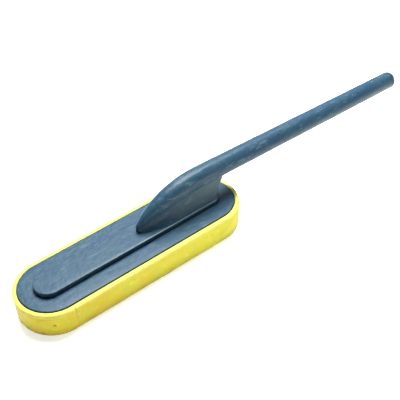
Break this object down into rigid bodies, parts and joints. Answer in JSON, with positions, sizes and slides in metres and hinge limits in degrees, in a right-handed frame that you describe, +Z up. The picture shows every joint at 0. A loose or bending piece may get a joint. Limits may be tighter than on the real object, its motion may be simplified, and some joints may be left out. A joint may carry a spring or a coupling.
{
  "type": "squeegee applicator",
  "caption": "Paddle-shaped applicator: a soft obround shoe on a backing plate, with a fin that carries a long straight rod grip out past the end of the head. The fasteners and inner pieces are inferred.",
  "frame": {"origin": "centre of the sole's flat face, halfway along and across the head", "axes": "+X along the head towards the grip's free end, +Y across the head, +Z up from the sole to the handle; symmetrical about the plane Y = 0"},
  "size_m": [0.3903, 0.0598, 0.058],
  "materials": {
    "blue_moulding": "semi-matte moulded, slight orange peel",
    "yellow_rubber": "soft matte elastomer",
    "grey_foam": "closed-cell foam",
    "bond_film": "adhesive film",
    "zinc_steel": "zinc plated",
    "bright_steel": "drawn bar"
  },
  "bodies": {
    "root": {"handle_body": "blue_moulding", "end_plug": "blue_moulding", "backing_plate": "blue_moulding", "core_rod": "bright_steel", "shoe": "yellow_rubber", "cushion_core": "grey_foam", "bond_sheet": "bond_film", "foot_screw_1": "zinc_steel", "foot_screw_2": "zinc_steel", "foot_screw_3": "zinc_steel", "foot_screw_4": "zinc_steel", "foot_screw_5": "zinc_steel", "foot_screw_6": "zinc_steel", "washer_1": "zinc_steel", "washer_2": "zinc_steel", "washer_3": "zinc_steel", "washer_4": "zinc_steel", "washer_5": "zinc_steel", "washer_6": "zinc_steel"}
  },
  "joints": []
}
